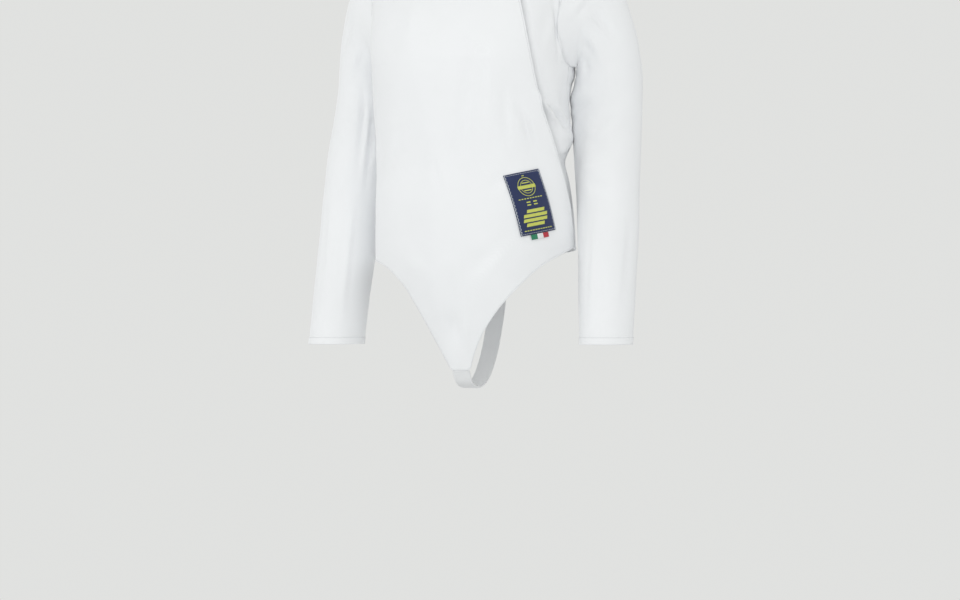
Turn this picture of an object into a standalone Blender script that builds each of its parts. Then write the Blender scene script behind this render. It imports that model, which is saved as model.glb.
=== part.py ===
"""A fencing jacket as it is worn: closed, hollow, with its sleeves hanging at the sides.

Frame: metres, +Z up, the front faces -Y and the wearer's left is +X. The origin is midway
between the two shoulder tips, where the wearer holds the jacket up. The body is a stack of
rings; a place on it is a turn round the ring (0 front, 90 left, 180 back, degrees) and a
level (height at the side of the ring). Every panel is a wall between two such places.
"""
import math
from collections import namedtuple

import bmesh
import bpy
import numpy as np

# Driving dimensions
CLOTH = 0.0016           # wall of a body or sleeve panel, two layers of cotton
COLLAR_CLOTH = 0.0022
PATCH = 0.0010           # woven label and ribbon
PATCH_CLEARANCE = 0.0011 # over the panel below, whose facets dip under its form
SEAM_GAP = 0.0003
ALIKE = 0.6              # cosine between two walls that share the slant of a seam's faces
NECK = 0.045             # level of the neck seam at the sides
TIP = 0.004              # level of the shoulder tip
ARMPIT = -0.168
ARMHOLE_STEPS = 10       # rows from the armpit to the tip
LOWER_ROWS = 8           # rows from the hip to the hem and the tongue's end
HIP = -0.420             # last level ring above the hem
COLLAR_HEIGHT = 0.048
COLLAR_FRONT_RISE = 0.012
COLLAR_LEAN = 0.004      # inwards at the top
COLLAR_LAP = 0.0034      # how far its right end stands over its left end
ARMHOLE_FRONT = 18.5     # turn from the side line to the armhole's front edge
ARMHOLE_BACK = 34.0
SIDE_SEAM_RIGHT = -90.0
SIDE_SEAM_LEFT = 122.0   # the left side seam lies behind the hip, below the flap's corner
TONGUE_END = -0.641
HEM_RIGHT = -0.466
HEM_LEFT = -0.455
HEM_BACK_DROP = 0.012    # how far the hem dips at the middle of the back
CLOSURE_OVERLAP = 0.056  # how far the left side reaches under the front flap
CLOSURE_STEP = 0.0050    # how deep it lies there, which leaves room for the zip
ZIP_SETBACK = 0.034      # from the flap's edge to the middle of the zip
ZIP_WIDTH = 0.020
ZIP_THICKNESS = 0.0012
ZIP_CLEARANCE = 0.0011   # from the flap's inner side
STRAP_WIDTH = 0.028
STRAP_THICKNESS = 0.0018
LABEL_WIDTH, LABEL_HEIGHT = 0.062, 0.094
LABEL_TURN, LABEL_LEVEL, LABEL_LEAN = 57.4, -0.384, 11.0
RIBBON_WIDTH, RIBBON_DROP = 0.030, 0.008
FLAP_REACH = 0.045       # how far from its free edge the flap's lift begins
CLOSURE_EDGE = 0.016     # how far beyond the flap's edge the left side is back on the body
CLOSURE_RISE = 0.014     # the length over which it rises there
SEAM_SWING = 1.6         # how fast a side seam swings from the armpit to its place at the hip
ARM_SLANT = 0.10         # how far a sleeve's ring rises towards its front
CUFF_SLANT = -0.01
SLEEVE_BLEND = 2.2       # rings over which the armhole's outline turns into the arm's
COLLAR_BEHIND = 20.0     # turn that the collar's left end reaches under the flap's edge
COLLAR_LAP_START = 300.0 # turn past the flap's edge where the collar starts to stand off
COLLAR_LAP_TURN = 36.0
SHARP = 40.0             # edges that turn by more degrees stay sharp

# How finely each piece is faceted
HIP_ROWS, SHOULDER_ROWS = 9, 3
ARCH_STEPS = 9
SIDE_COLUMNS, BACK_COLUMNS = 9, 19
SHOULDER_RINGS = [0.0, 0.5, 1.0, 1.6, 2.2, 3.0, 4.0, 5.0]
ARM_RINGS = 9
COLLAR_COLUMNS, COLLAR_ROWS = 41, 4
STRAP_STEPS = 17

WHITE = (0.86, 0.87, 0.88)
NAVY = (0.05, 0.07, 0.16)

# The body's rings, from below the hem to the neck seam. Rises lift the front and the back
# of a ring above the level that its sides have.
Ring = namedtuple(
    "Ring", "level half_width front_y side_y back_y squareness front_rise back_rise")
BODY = [
    Ring(-0.660, 0.158, -0.030, 0.025, 0.115, 2.1, 0.000, 0.000),
    Ring(-0.560, 0.160, -0.073, 0.027, 0.130, 2.1, 0.000, 0.000),
    Ring(-0.460, 0.160, -0.101, 0.026, 0.140, 2.2, 0.000, 0.000),
    Ring(-0.390, 0.158, -0.106, 0.019, 0.132, 2.2, 0.000, 0.000),
    Ring(-0.309, 0.153, -0.103, 0.004, 0.112, 2.2, 0.000, 0.000),
    Ring(-0.230, 0.155, -0.110, 0.003, 0.128, 2.3, 0.000, 0.000),
    Ring(-0.150, 0.160, -0.112, 0.018, 0.142, 2.5, 0.000, 0.000),
    Ring(-0.062, 0.164, -0.086, 0.034, 0.140, 2.6, -0.010, -0.004),
    Ring(0.004, 0.158, -0.052, 0.038, 0.124, 2.4, -0.035, -0.004),
    Ring(0.026, 0.113, -0.040, 0.038, 0.112, 2.2, -0.040, 0.000),
    Ring(0.045, 0.072, -0.030, 0.038, 0.100, 2.0, -0.040, 0.003),
]

# The front flap's free edge, from its corner at the left hip to the collar. The lift is how
# far the edge stands off the body.
Edge = namedtuple("Edge", "level turn lift")
FLAP_EDGE = [
    Edge(-0.460, 88.0, 0.007),
    Edge(-0.375, 84.0, 0.009),
    Edge(-0.309, 78.0, 0.010),
    Edge(-0.230, 66.0, 0.005),
    Edge(-0.150, 54.0, 0.002),
    Edge(-0.062, 46.5, 0.001),
    Edge(0.004, 45.0, 0.000),
    Edge(0.045, 45.0, 0.000),
]

# The arches over the thighs, from the hip corners to the end of the tongue
Arch = namedtuple("Arch", "share right_turn right_z left_turn left_z")
ARCHES = [
    Arch(0.00, -90.0, HEM_RIGHT, 88.0, -0.448),
    Arch(0.14, -68.0, -0.470, 75.5, -0.463),
    Arch(0.30, -51.0, -0.480, 62.5, -0.480),
    Arch(0.46, -38.0, -0.507, 51.0, -0.507),
    Arch(0.63, -30.0, -0.545, 39.0, -0.543),
    Arch(0.81, -23.0, -0.590, 26.5, -0.588),
    Arch(0.93, -17.8, -0.622, 18.5, -0.621),
    Arch(1.00, -14.0, TONGUE_END, 14.0, TONGUE_END),
]

# Each arm's rings, as on the left. The tilt turns a ring from upright (0) to level (90).
Sleeve = namedtuple("Sleeve", "x y z tilt half_out half_front")
LEFT_ARM = [
    Sleeve(0.160, 0.045, -0.082, 0.0, 0.086, 0.066),
    Sleeve(0.180, 0.053, -0.088, 11.0, 0.083, 0.063),
    Sleeve(0.193, 0.061, -0.106, 24.0, 0.073, 0.060),
    Sleeve(0.200, 0.068, -0.133, 43.0, 0.060, 0.056),
    Sleeve(0.203, 0.073, -0.162, 63.0, 0.054, 0.055),
    Sleeve(0.202, 0.074, -0.196, 84.0, 0.055, 0.054),
    Sleeve(0.201, 0.070, -0.240, 90.0, 0.057, 0.050),
    Sleeve(0.208, 0.054, -0.300, 90.0, 0.053, 0.050),
    Sleeve(0.213, 0.042, -0.360, 90.0, 0.050, 0.048),
    Sleeve(0.217, 0.032, -0.420, 90.0, 0.048, 0.046),
    Sleeve(0.222, 0.012, -0.520, 90.0, 0.044, 0.043),
    Sleeve(0.226, -0.005, -0.600, 90.0, 0.041, 0.041),
]
RIGHT_ARM = [
    Sleeve(0.160, 0.045, -0.082, 0.0, 0.086, 0.066),
    Sleeve(0.180, 0.053, -0.088, 11.0, 0.083, 0.063),
    Sleeve(0.194, 0.061, -0.106, 24.0, 0.072, 0.060),
    Sleeve(0.202, 0.068, -0.133, 43.0, 0.058, 0.058),
    Sleeve(0.207, 0.073, -0.162, 63.0, 0.049, 0.056),
    Sleeve(0.208, 0.075, -0.196, 84.0, 0.047, 0.055),
    Sleeve(0.209, 0.066, -0.240, 90.0, 0.050, 0.054),
    Sleeve(0.213, 0.052, -0.300, 90.0, 0.051, 0.053),
    Sleeve(0.218, 0.042, -0.360, 90.0, 0.049, 0.050),
    Sleeve(0.222, 0.032, -0.420, 90.0, 0.047, 0.047),
    Sleeve(0.226, 0.012, -0.520, 90.0, 0.045, 0.045),
    Sleeve(0.228, -0.005, -0.600, 90.0, 0.044, 0.043),
]

# The largest folds, as soft ridges (rise above 0) and troughs
Fold = namedtuple("Fold", "turn level half_turn half_level rise lean")
BODY_FOLDS = [
    Fold(96.0, -0.280, 15.0, 0.022, 0.011, 0.0),
    Fold(100.0, -0.318, 20.0, 0.018, -0.004, 0.0),
    Fold(24.0, -0.190, 7.0, 0.070, -0.003, 0.0),
    Fold(-62.0, -0.330, 12.0, 0.030, -0.003, 100.0),
]
ARM_FOLDS = [
    Fold(140.0, 0.50, 50.0, 0.030, 0.0040, 30.0),
    Fold(150.0, 0.56, 45.0, 0.024, -0.0040, 30.0),
]


def smooth(x, xs, ys):
    """A curve through the points (xs, ys), without corners."""
    xs, ys = np.asarray(xs, float), np.asarray(ys, float)
    slopes = np.gradient(ys, xs)
    i = np.clip(np.searchsorted(xs, x) - 1, 0, len(xs) - 2)
    step = xs[i + 1] - xs[i]
    t = np.clip((x - xs[i]) / step, 0.0, 1.0)
    return (
        (2 * t**3 - 3 * t**2 + 1) * ys[i] + (t**3 - 2 * t**2 + t) * step * slopes[i]
        + (3 * t**2 - 2 * t**3) * ys[i + 1] + (t**3 - t**2) * step * slopes[i + 1]
    )


def column(rows, name, x, along="level"):
    """A column of a table, read at x."""
    return smooth(x, [getattr(r, along) for r in rows], [getattr(r, name) for r in rows])


def ease(t):
    """0 up to 0, 1 from 1 on, and soft in between."""
    t = np.clip(t, 0.0, 1.0)
    return t * t * (3.0 - 2.0 * t)


def folds(table, turn, level):
    """The height of all of a table's folds at a place."""
    total = 0.0
    for f in table:
        across = ((turn - f.turn + 180.0) % 360.0 - 180.0) - f.lean * (level - f.level)
        along = level - f.level
        total = total + f.rise * np.exp(-((across / f.half_turn) ** 2) - (along / f.half_level) ** 2)
    return total


def bare_body(turn, level):
    """The point of the body's form at a turn and a level."""
    a = np.radians(turn)
    side_y = column(BODY, "side_y", level)
    front = np.cos(a) > 0
    depth = np.where(front, side_y - column(BODY, "front_y", level),
                     column(BODY, "back_y", level) - side_y)
    rise = np.where(front, column(BODY, "front_rise", level), column(BODY, "back_rise", level))
    power = column(BODY, "squareness", level)
    width = column(BODY, "half_width", level)
    reach = (np.abs(np.sin(a) / width) ** power + np.abs(np.cos(a) / depth) ** power) ** (-1 / power)
    reach = reach + folds(BODY_FOLDS, turn, level)
    return np.stack([reach * np.sin(a), side_y - reach * np.cos(a),
                     level + rise * np.cos(a) ** 2], axis=-1)


def facing(surface, u, v, du, dv):
    """The outward direction of a surface(u, v), from its slopes."""
    across = surface(u + du, v) - surface(u - du, v)
    up = surface(u, v + dv) - surface(u, v - dv)
    n = np.cross(across, up)
    return n / np.linalg.norm(n, axis=-1, keepdims=True)


def body_facing(turn, level):
    return facing(bare_body, turn, level, 0.5, 0.001)


def degrees_of(length, turn, level):
    """The turn that covers a length round the body at a place."""
    step = np.linalg.norm(bare_body(turn + 0.5, level) - bare_body(turn - 0.5, level), axis=-1)
    return length / step


def on_body(turn, level, out=0.0):
    """Points moved out from the body's form, and their outward directions."""
    turn, level = np.broadcast_arrays(np.asarray(turn, float), np.asarray(level, float))
    away = body_facing(turn, level)
    return bare_body(turn, level) + away * np.asarray(out)[..., None], away


def flap_lift(turn, level):
    """How far the front panel stands off the body, which grows to its free edge."""
    edge = column(FLAP_EDGE, "turn", level)
    reach = degrees_of(FLAP_REACH, edge, level)
    return column(FLAP_EDGE, "lift", level) * ease((turn - edge + reach) / reach)


def armhole_levels():
    """Levels from the armpit to the shoulder tip, even round the armhole, and their share."""
    steps = np.arange(ARMHOLE_STEPS + 1) / ARMHOLE_STEPS * math.pi
    middle, half = (TIP + ARMPIT) / 2, (TIP - ARMPIT) / 2
    return middle - half * np.cos(steps), np.sin(steps)


ARM_LEVELS, ARMHOLE_SHARE = armhole_levels()
LOWER_LEVELS = np.linspace(HIP, ARMPIT, HIP_ROWS + 1)[:-1]
UPPER_LEVELS = np.linspace(TIP, NECK, SHOULDER_ROWS + 1)[1:]
LEVELS = np.concatenate([LOWER_LEVELS, ARM_LEVELS, UPPER_LEVELS])


def side_limit(level, seam, opening, side):
    """The turn of a panel's edge at a side (1 left, -1 right): its seam, the armhole, the shoulder.

    The opening is how far the armhole takes the edge towards the front, or to the back below 0.
    """
    share = np.interp(level, ARM_LEVELS, ARMHOLE_SHARE, left=0.0, right=0.0)
    below = ease((ARMPIT - level) / (ARMPIT - HIP) * SEAM_SWING)
    return side * (90.0 - opening * share) + below * (seam - side * 90.0)


def pull_in(grid, gap, rows=(), columns=()):
    """Moves the chosen border rows and columns of a grid into it, by half a seam's gap."""
    moved = grid.copy()
    for edge in rows:
        way = grid[1 if edge == 0 else -2] - grid[edge]
        moved[edge] += way / np.linalg.norm(way, axis=-1, keepdims=True) * gap / 2
    for edge in columns:
        way = grid[:, 1 if edge == 0 else -2] - grid[:, edge]
        moved[:, edge] += way / np.linalg.norm(way, axis=-1, keepdims=True) * gap / 2
    return moved


def cloth_material(name, colour, roughness=0.85):
    material = bpy.data.materials.new(name)
    material.use_nodes = True
    shader = material.node_tree.nodes["Principled BSDF"]
    shader.inputs["Base Color"].default_value = (*colour, 1.0)
    shader.inputs["Roughness"].default_value = roughness
    return material


def wall(name, outer, away, thickness, material, round_tube=False):
    """A closed solid from a grid of outer points, with its inner side a wall's thickness in."""
    rows, cols = outer.shape[:2]
    inner = outer - away * thickness
    mesh = bmesh.new()
    sides = [[[mesh.verts.new(p) for p in row] for row in grid] for grid in (outer, inner)]
    spans = cols if round_tube else cols - 1
    for k, side in enumerate(sides):
        for i in range(rows - 1):
            for j in range(spans):
                ring = [side[i][j], side[i][(j + 1) % cols],
                        side[i + 1][(j + 1) % cols], side[i + 1][j]]
                mesh.faces.new(ring if k == 0 else ring[::-1])
    front, back = sides
    for i in (0, rows - 1):
        for j in range(spans):
            following = (j + 1) % cols
            mesh.faces.new([front[i][j], back[i][j], back[i][following], front[i][following]])
    if not round_tube:
        for j in (0, cols - 1):
            for i in range(rows - 1):
                mesh.faces.new([front[i][j], front[i + 1][j], back[i + 1][j], back[i][j]])
    bmesh.ops.recalc_face_normals(mesh, faces=mesh.faces)
    data = bpy.data.meshes.new(name)
    mesh.to_mesh(data)
    mesh.free()
    data.materials.append(material)
    data.shade_smooth()
    data.set_sharp_from_angle(angle=math.radians(SHARP))
    piece = bpy.data.objects.new(name, data)
    bpy.context.scene.collection.objects.link(piece)
    return piece


def lower_edge(half):
    """The front's lower edge: half + 1 places down each arch, and one more between them."""
    share = np.linspace(0.0, 1.0, half + 1)
    right = np.stack([column(ARCHES, "right_turn", share, "share"),
                      column(ARCHES, "right_z", share, "share")])
    left = np.stack([column(ARCHES, "left_turn", share, "share"),
                     column(ARCHES, "left_z", share, "share")])
    middle = (right[:, -1:] + left[:, -1:]) / 2
    return np.concatenate([right, middle, left[:, ::-1]], axis=1)


def front_panel(material):
    """The whole front with its flap and tongue, from the right side seam to the flap's edge."""
    edge_turn, edge_level = lower_edge(ARCH_STEPS)
    across = np.linspace(0.0, 1.0, len(edge_turn))
    rows = []
    for level in LEVELS:
        start = side_limit(level, SIDE_SEAM_RIGHT, ARMHOLE_FRONT, -1)
        rows.append(start + (column(FLAP_EDGE, "turn", level) - start) * across)
    drop = np.linspace(1.0, 0.0, LOWER_ROWS + 1)[:-1, None]
    turn = np.concatenate([rows[0] + (edge_turn - rows[0]) * drop, rows])
    level = np.concatenate([HIP + (edge_level - HIP) * drop,
                            np.repeat(LEVELS[:, None], len(across), axis=1)])
    outer, away = on_body(turn, level, flap_lift(turn, level))
    outer = pull_in(outer, SEAM_GAP, rows=(-1,), columns=(0,))
    return wall("front_panel", outer, away, CLOTH, material)


def above_hem(hem):
    """The rows between the hem and the hip level, for a panel that ends in a plain hem."""
    return HIP + (hem - HIP) * np.linspace(1.0, 0.0, LOWER_ROWS + 1)[:-1, None]


def left_side_panel(material):
    """The left front and side, from under the flap to the left side seam and armhole."""
    share = np.linspace(0.0, 1.0, SIDE_COLUMNS)
    corner = ARCHES[0].left_z
    hem = corner + (HEM_LEFT - corner) * share
    rows = []
    for level in LEVELS:
        edge = column(FLAP_EDGE, "turn", level)
        start = edge - degrees_of(CLOSURE_OVERLAP, edge, level)
        end = side_limit(level, SIDE_SEAM_LEFT, ARMHOLE_FRONT, 1)
        rows.append(start + (end - start) * share)
    turn = np.array([rows[0]] * LOWER_ROWS + rows)
    level = np.concatenate([above_hem(hem), np.repeat(LEVELS[:, None], len(share), axis=1)])
    edge = column(FLAP_EDGE, "turn", level)
    under = ease((edge + degrees_of(CLOSURE_EDGE, edge, level) - turn)
                 / degrees_of(CLOSURE_RISE, edge, level))
    outer, away = on_body(turn, level, -CLOSURE_STEP * under)
    outer = pull_in(outer, SEAM_GAP, rows=(-1,), columns=(-1,))
    return wall("left_side_panel", outer, away, CLOTH, material)


def back_panel(material):
    """The back in one piece, between the side seams, armholes and shoulder seams."""
    share = np.linspace(0.0, 1.0, BACK_COLUMNS)
    rows = []
    for level in LEVELS:
        start = side_limit(level, SIDE_SEAM_LEFT, -ARMHOLE_BACK, 1)
        end = 360.0 + side_limit(level, SIDE_SEAM_RIGHT, -ARMHOLE_BACK, -1)
        rows.append(start + (end - start) * share)
    hem = HEM_LEFT + (HEM_RIGHT - HEM_LEFT) * share - HEM_BACK_DROP * np.sin(share * math.pi)
    turn = np.array([rows[0]] * LOWER_ROWS + rows)
    level = np.concatenate([above_hem(hem), np.repeat(LEVELS[:, None], len(share), axis=1)])
    outer, away = on_body(turn, level)
    outer = pull_in(outer, SEAM_GAP, rows=(-1,), columns=(0, -1))
    return wall("back_panel", outer, away, CLOTH, material)


def armhole_loop():
    """The left armhole's points, from the tip down the front to the armpit and up the back."""
    levels, share = ARM_LEVELS[::-1], ARMHOLE_SHARE[::-1]
    front = bare_body(90.0 - ARMHOLE_FRONT * share, levels)
    back = bare_body(90.0 + ARMHOLE_BACK * share, levels)
    loop = np.concatenate([front, back[-2:0:-1]])
    turns = np.concatenate([90.0 - ARMHOLE_FRONT * share, (90.0 + ARMHOLE_BACK * share)[-2:0:-1]])
    away = body_facing(turns, np.concatenate([levels, levels[-2:0:-1]]))
    return loop, away


def arm_form(arm, around, along):
    """A point of a sleeve's form, as on the left, at a turn (0 outer, 90 front) and a ring."""
    steps = np.arange(len(arm))
    value = {name: smooth(along, steps, [getattr(r, name) for r in arm]) for name in Sleeve._fields}
    a, tilt = np.radians(around), np.radians(value["tilt"])
    fold = folds(ARM_FOLDS, around, along / (len(arm) - 1))
    outward = (value["half_out"] + fold) * np.cos(a)
    forward = (value["half_front"] + fold) * np.sin(a)
    slant = CUFF_SLANT + (ARM_SLANT - CUFF_SLANT) * ease((len(arm) - 1 - along) / 3.0)
    return np.stack([value["x"] + outward * np.sin(tilt), value["y"] - forward,
                     value["z"] + outward * np.cos(tilt) + slant * forward], axis=-1)


def sleeve(name, side, arm, material):
    """A sleeve: its first ring is the armhole, and it hangs to a plain open cuff."""
    loop, seam_away = armhole_loop()
    around = np.arange(len(loop)) * 360.0 / len(loop)
    along = np.concatenate([SHOULDER_RINGS, np.linspace(5.8, len(arm) - 1, ARM_RINGS)])
    turn, ring = np.meshgrid(around, along)
    outer = arm_form(arm, turn, ring)
    start = loop - outer[0]
    fade = 1.0 - ease(along / SLEEVE_BLEND)
    outer = outer + fade[:, None, None] * start[None]
    ahead = np.concatenate([outer[1:] - outer[:-1], outer[-1:] - outer[-2:-1]])
    behind = np.concatenate([ahead[:1], ahead[:-1]])
    beside = np.roll(outer, -1, axis=1) - np.roll(outer, 1, axis=1)
    away = np.cross(beside, ahead + behind)
    away /= np.linalg.norm(away, axis=-1, keepdims=True)
    way = outer[1] - outer[0]
    falls = np.sum(seam_away * way, axis=-1) < 0
    alike = np.sum(seam_away * away[0], axis=-1) > ALIKE
    away[0][falls & alike] = seam_away[falls & alike]
    outer = pull_in(outer, 2 * SEAM_GAP, rows=(0,))
    mirror = np.array([side, 1.0, 1.0])
    return wall(name, outer * mirror, away * mirror, CLOTH, material, round_tube=True)


def collar(material):
    """A standing band round the neck, whose right end laps over its left end at the closure."""
    edge = column(FLAP_EDGE, "turn", NECK)
    turn = np.linspace(edge - COLLAR_BEHIND, edge + 360.0, COLLAR_COLUMNS)
    lap = COLLAR_LAP * ease((turn - edge - COLLAR_LAP_START) / COLLAR_LAP_TURN)
    height = COLLAR_HEIGHT + COLLAR_FRONT_RISE * np.clip(np.cos(np.radians(turn)), 0, 1) ** 2
    seam = bare_body(turn, np.full_like(turn, NECK))
    away = np.stack([np.sin(np.radians(turn)), -np.cos(np.radians(turn)), 0 * turn], axis=-1)
    outer = []
    for share in np.linspace(0.0, 1.0, COLLAR_ROWS):
        up = SEAM_GAP + (height - SEAM_GAP) * share
        lean = lap - COLLAR_LEAN * math.sin(math.pi / 2 * share)
        outer.append(seam + away * lean[:, None] + np.array([0.0, 0.0, 1.0]) * up[:, None])
    outer = np.array(outer)
    return wall("collar", outer, np.repeat(away[None], len(outer), axis=0), COLLAR_CLOTH, material)


def zip_strip(material):
    """The closed zip under the flap, between the front panel and the left side."""
    levels = np.concatenate([[-0.440], LEVELS[:-1]])
    edge = column(FLAP_EDGE, "turn", levels)
    middle = edge - degrees_of(ZIP_SETBACK, edge, levels)
    half = degrees_of(ZIP_WIDTH / 2, edge, levels)
    turn = np.stack([middle - half, middle, middle + half], axis=1)
    level = np.repeat(levels[:, None], 3, axis=1)
    depth = flap_lift(turn, level) - CLOTH - ZIP_CLEARANCE
    outer, away = on_body(turn, level, depth)
    return wall("zip_strip", outer, away, ZIP_THICKNESS, material)


def crotch_strap(material):
    """The elastic band from the tongue's end, under the wearer, to the hem of the back."""
    Point = namedtuple("Point", "y z")
    front = bare_body(0.0, TONGUE_END)
    back = bare_body(180.0, (HEM_LEFT + HEM_RIGHT) / 2 - HEM_BACK_DROP)
    route = [
        Point(front[1] + 0.0002, front[2] - 0.0006),
        Point(front[1] + 0.016, front[2] - 0.020),
        Point(0.010, -0.668),
        Point(0.050, -0.652),
        Point(0.085, -0.612),
        Point(0.112, -0.555),
        Point(0.128, -0.505),
        Point(back[1] - SEAM_GAP, back[2] - SEAM_GAP),
    ]
    steps = np.arange(len(route))
    at = np.linspace(0.0, len(route) - 1, STRAP_STEPS)
    y = smooth(at, steps, [p.y for p in route])
    z = smooth(at, steps, [p.z for p in route])
    slope = np.stack([np.gradient(y), np.gradient(z)], axis=-1)
    slope /= np.linalg.norm(slope, axis=-1, keepdims=True)
    x = np.array([-0.5, 0.0, 0.5]) * STRAP_WIDTH
    outer = np.array([[(px, py, pz) for px in x] for py, pz in zip(y, z)])
    away = np.array([[(0.0, t[1], -t[0])] * 3 for t in slope])
    return wall("crotch_strap", outer, away, STRAP_THICKNESS, material)


def patch_points(width, height, drop, rows, cols, out):
    """A leaning rectangle laid on the front panel, hung a drop below the label's middle."""
    lean = math.radians(LABEL_LEAN)
    x, y = np.meshgrid(np.linspace(-0.5, 0.5, cols) * width,
                       np.linspace(-0.5, 0.5, rows) * height - drop)
    right = x * math.cos(lean) - y * math.sin(lean)
    up = x * math.sin(lean) + y * math.cos(lean)
    turn = LABEL_TURN + degrees_of(right, LABEL_TURN, LABEL_LEVEL)
    level = LABEL_LEVEL + up
    return on_body(turn, level, flap_lift(turn, level) + out)


def label_patch(material):
    """The woven label sewn on the front panel above the left hip."""
    outer, away = patch_points(LABEL_WIDTH, LABEL_HEIGHT, 0.0, 6, 5, PATCH + PATCH_CLEARANCE)
    return wall("label_patch", outer, away, PATCH, material)


def ribbon_tab(material):
    """The folded end of ribbon that shows below the label."""
    drop = (LABEL_HEIGHT + RIBBON_DROP) / 2 + SEAM_GAP
    outer, away = patch_points(RIBBON_WIDTH, RIBBON_DROP, drop, 2, 4, PATCH + PATCH_CLEARANCE)
    return wall("ribbon_tab", outer, away, PATCH, material)


def main():
    for leftover in list(bpy.data.objects):
        bpy.data.objects.remove(leftover)
    white = cloth_material("white_cotton", WHITE)
    elastic = cloth_material("white_elastic", WHITE, 0.75)
    navy = cloth_material("navy_woven_label", NAVY, 0.7)
    tape = cloth_material("zip_tape", WHITE, 0.7)
    ribbon = cloth_material("tricolour_ribbon", (0.30, 0.45, 0.30), 0.6)
    front_panel(white)
    left_side_panel(white)
    back_panel(white)
    sleeve("sleeve_left", 1.0, LEFT_ARM, white)
    sleeve("sleeve_right", -1.0, RIGHT_ARM, white)
    collar(white)
    zip_strip(tape)
    crotch_strap(elastic)
    label_patch(navy)
    ribbon_tab(ribbon)


main()
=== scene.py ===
"""The looks of the fencing jacket: panels of white twill, woven label, stitching and light.

Every form here is the CAD model's own, repeated from the same named sizes: a place on the body
is a turn round it (0 front, 90 left, 180 back, degrees) and a level (height in metres). What
this script adds is the fine surface: soft folds, hems, seams, stitches, weave and thread.
"""
import math
from collections import namedtuple

import bmesh
import bpy
import numpy as np
from mathutils import Matrix, Vector, noise


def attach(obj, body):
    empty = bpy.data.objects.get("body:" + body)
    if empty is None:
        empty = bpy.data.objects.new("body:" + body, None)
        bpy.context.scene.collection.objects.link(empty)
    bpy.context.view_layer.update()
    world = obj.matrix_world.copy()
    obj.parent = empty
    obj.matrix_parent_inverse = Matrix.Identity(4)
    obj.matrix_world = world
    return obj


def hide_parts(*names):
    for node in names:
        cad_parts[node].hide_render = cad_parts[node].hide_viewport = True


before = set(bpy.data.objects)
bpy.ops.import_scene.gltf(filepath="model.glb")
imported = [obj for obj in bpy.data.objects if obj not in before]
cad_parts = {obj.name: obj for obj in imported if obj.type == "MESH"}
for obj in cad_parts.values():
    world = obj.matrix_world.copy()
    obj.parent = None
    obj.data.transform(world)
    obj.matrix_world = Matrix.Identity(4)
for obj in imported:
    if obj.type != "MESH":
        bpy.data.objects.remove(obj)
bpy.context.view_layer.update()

# Sizes that the CAD model has too
CLOTH = 0.0016
COLLAR_CLOTH = 0.0022
PATCH = 0.001
PATCH_CLEARANCE = 0.0011
NECK = 0.045
TIP = 0.004
ARMPIT = -0.168
HIP = -0.42
COLLAR_HEIGHT = 0.048
COLLAR_FRONT_RISE = 0.012
COLLAR_LEAN = 0.004
COLLAR_LAP = 0.0034
COLLAR_BEHIND, COLLAR_LAP_START, COLLAR_LAP_TURN = 20, 300, 36
ARMHOLE_MIDDLE, ARMHOLE_HALF = (TIP + ARMPIT) / 2, (TIP - ARMPIT) / 2
ARMHOLE_FRONT = 18.5
ARMHOLE_BACK = 34.0
SIDE_SEAM_RIGHT = -90.0
SIDE_SEAM_LEFT = 122.0
TONGUE_END = -0.641
HEM_RIGHT = -0.466
HEM_LEFT = -0.455
HEM_BACK_DROP = 0.012
CLOSURE_OVERLAP = 0.056
CLOSURE_STEP = 0.005
ZIP_SETBACK = 0.034
ZIP_WIDTH = 0.02
ZIP_CLEARANCE = 0.0011
ZIP_LOW, ZIP_HIGH = -0.44, 0.026
ZIP_TAPE = 0.0008
ZIP_DIP, ZIP_DIP_REACH = 0.003, 0.04  # below the flap's fold at the waist
TOOTH = (0.003, 0.0015, 0.001)
TOOTH_STEP, TOOTH_SHIFT = 0.002, 0.0009
STRAP_WIDTH = 0.028
STRAP_THICKNESS = 0.0018
STRAP_COLUMNS, STRAP_RIB = 29, 0.00018
LABEL_WIDTH, LABEL_HEIGHT = 0.062, 0.094
LABEL_TURN, LABEL_LEVEL, LABEL_LEAN = 57.4, -0.384, 11.0
RIBBON_WIDTH, RIBBON_DROP = 0.03, 0.008
RIBBON_THICKNESS = 0.0004
ARM_SLANT, CUFF_SLANT = 0.1, -0.01


def table(kind, rows):
    return [kind(*row) for row in rows]


Ring = namedtuple(
    "Ring", "level half_width front_y side_y back_y squareness front_rise back_rise")
BODY = table(Ring, [
    (-0.66, 0.158, -0.03, 0.025, 0.115, 2.1, 0, 0),
    (-0.56, 0.16, -0.073, 0.027, 0.13, 2.1, 0, 0),
    (-0.46, 0.16, -0.101, 0.026, 0.14, 2.2, 0, 0),
    (-0.39, 0.158, -0.106, 0.019, 0.132, 2.2, 0, 0),
    (-0.309, 0.153, -0.103, 0.004, 0.112, 2.2, 0, 0),
    (-0.23, 0.155, -0.11, 0.003, 0.128, 2.3, 0, 0),
    (-0.15, 0.16, -0.112, 0.018, 0.142, 2.5, 0, 0),
    (-0.062, 0.164, -0.086, 0.034, 0.14, 2.6, -0.01, -0.004),
    (0.004, 0.158, -0.052, 0.038, 0.124, 2.4, -0.035, -0.004),
    (0.026, 0.113, -0.04, 0.038, 0.112, 2.2, -0.04, 0),
    (0.045, 0.072, -0.03, 0.038, 0.1, 2, -0.04, 0.003),
])

Edge = namedtuple("Edge", "level turn lift")
FLAP_EDGE = table(Edge, [
    (-0.46, 88, 0.007),
    (-0.375, 84, 0.009),
    (-0.309, 78, 0.01),
    (-0.23, 66, 0.005),
    (-0.15, 54, 0.002),
    (-0.062, 46.5, 0.001),
    (0.004, 45, 0),
    (0.045, 45, 0),
])

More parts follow.
